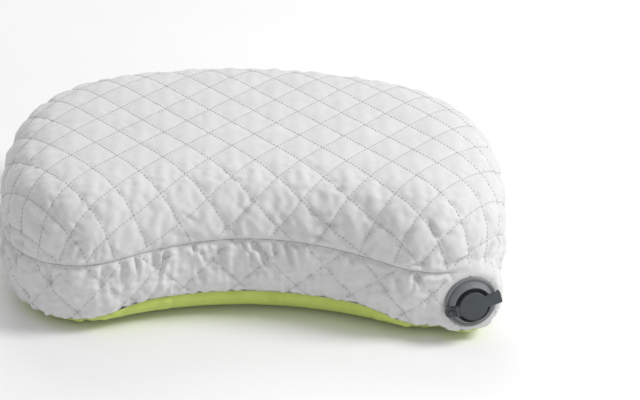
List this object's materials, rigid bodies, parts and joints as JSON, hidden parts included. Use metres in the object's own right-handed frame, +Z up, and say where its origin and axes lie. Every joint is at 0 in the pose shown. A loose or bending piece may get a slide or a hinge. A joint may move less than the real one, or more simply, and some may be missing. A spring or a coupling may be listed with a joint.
{
  "type": "camp pillow",
  "caption": "Kidney-shaped inflatable camp pillow: quilted cover, side band and nylon base over a welded air bladder, with a capped flat valve on one front lobe.",
  "frame": {"origin": "on the flat underside, on the centre line, half way between the front lobes and the back edge", "axes": "+X to the right along the width, +Y to the back, +Z up from the floor"},
  "size_m": [0.43, 0.3059, 0.129],
  "materials": {
    "quilted_face_fabric": "brushed light grey microfibre, quilted",
    "green_nylon": "smooth lime green nylon taffeta",
    "wadding": "soft white polyester wadding",
    "lining_cloth": "plain woven lining",
    "grey_thread": "matt sewing thread",
    "binding_tape": "woven tape",
    "bladder_film": "smooth translucent polyurethane film",
    "valve_grey": "satin moulded polyurethane, mid grey-blue",
    "valve_dark": "satin moulded polyurethane, dark slate",
    "seal_rubber": "soft silicone"
  },
  "bodies": {
    "pillow": {"top_panel": "quilted_face_fabric", "top_fill": "wadding", "top_lining": "lining_cloth", "side_band": "quilted_face_fabric", "band_fill": "wadding", "band_lining": "lining_cloth", "bottom_panel": "green_nylon", "upper_seam_thread": "grey_thread", "lower_seam_thread": "grey_thread", "upper_seam_binding": "binding_tape", "lower_seam_binding": "binding_tape", "bladder_upper_film": "bladder_film", "bladder_lower_film": "bladder_film", "bladder_edge_weld": "bladder_film", "bladder_valve_patch": "bladder_film", "valve_weld_flange": "valve_grey", "cover_bezel": "valve_grey", "valve_housing": "valve_dark", "raised_ring": "valve_grey", "flap_spider": "valve_dark", "strap_post": "valve_dark", "strap_eyelet": "valve_dark"},
    "cap": {"cap_lid": "valve_dark", "cap_seal_ring": "seal_rubber"},
    "flap": {"check_flap": "seal_rubber", "flap_stem": "valve_dark"}
  },
  "joints": [
    {"name": "cap_hinge", "type": "hinge", "parent": "pillow", "child": "cap", "pos_m": [0.16722, -0.15543, 0.03461], "axis": [0.2968, -0.0223, -0.9547], "range_deg": [0, 130]},
    {"name": "flap_press", "type": "slide", "parent": "pillow", "child": "flap", "axis": [-0.2071, 0.9744, -0.0872], "range_m": [0, 0.0025], "stiffness_N_per_m": 150, "springref_m": -0.0005}
  ]
}
